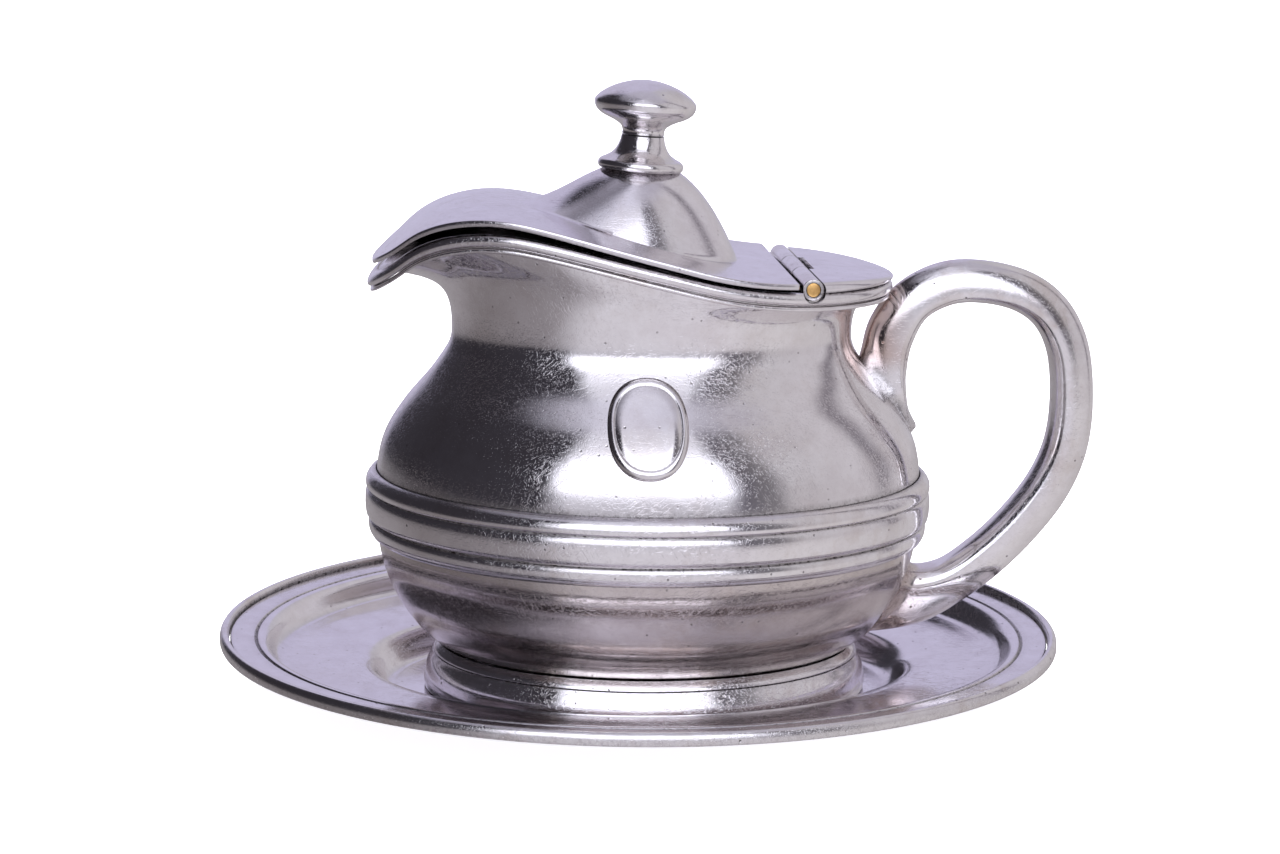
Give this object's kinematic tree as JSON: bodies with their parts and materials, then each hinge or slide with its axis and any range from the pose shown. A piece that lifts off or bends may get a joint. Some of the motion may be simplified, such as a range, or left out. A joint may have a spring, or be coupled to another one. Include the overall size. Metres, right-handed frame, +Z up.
{
  "type": "covered sauce boat",
  "caption": "Oval covered sauce boat with pouring spout, hinged domed lid and loop handle, fixed on an oval underplate.",
  "frame": {"origin": "middle of the flat underside of the underplate's well, on which the object rests", "axes": "+Z up; spout towards -X, handle towards +X; the lid hinge lies along Y"},
  "size_m": [0.1758, 0.1294, 0.1233],
  "materials": {
    "tray_plate": "silver plate, finely scratched",
    "tray_border": "silver plate, pitted and tarnished",
    "foot_ring": "silver plate, worn",
    "foot_neck": "silver plate, worn",
    "bowl_lower": "silver plate, finely scratched",
    "belt_moulding": "silver plate, worn",
    "body_upper": "silver plate, scratched and pitted",
    "rim_moulding": "silver plate, worn",
    "rim_bead": "silver plate, worn",
    "heel_plate": "silver plate, finely scratched",
    "hinge_knuckle_near": "silver plate, tarnished",
    "hinge_knuckle_far": "silver plate, tarnished",
    "hinge_pin": "bare brass, dull",
    "lid_knuckle": "silver plate, tarnished",
    "lid_plate": "silver plate, finely scratched",
    "finial_base": "silver plate, worn",
    "finial_knob": "silver plate, worn",
    "finial_washer": "plain",
    "finial_nut": "plain",
    "handle": "silver plate, pitted, brown tarnish at the roots",
    "plaque": "silver plate, finely scratched"
  },
  "bodies": {
    "boat": {"tray_plate": "tray_plate", "tray_border": "tray_border", "foot_ring": "foot_ring", "foot_neck": "foot_neck", "bowl_lower": "bowl_lower", "belt_moulding": "belt_moulding", "body_upper": "body_upper", "rim_moulding": "rim_moulding", "rim_bead": "rim_bead", "heel_plate": "heel_plate", "hinge_knuckle_near": "hinge_knuckle_near", "hinge_knuckle_far": "hinge_knuckle_far", "hinge_pin": "hinge_pin", "handle": "handle", "plaque": "plaque"},
    "lid": {"lid_knuckle": "lid_knuckle", "lid_plate": "lid_plate", "finial_base": "finial_base", "finial_knob": "finial_knob", "finial_washer": "finial_washer", "finial_nut": "finial_nut"}
  },
  "joints": [
    {"name": "lid_hinge", "type": "hinge", "parent": "boat", "child": "lid", "pos_m": [0.0292, 0, 0.0862], "axis": [0, 1, 0], "range_deg": [0, 100]}
  ]
}
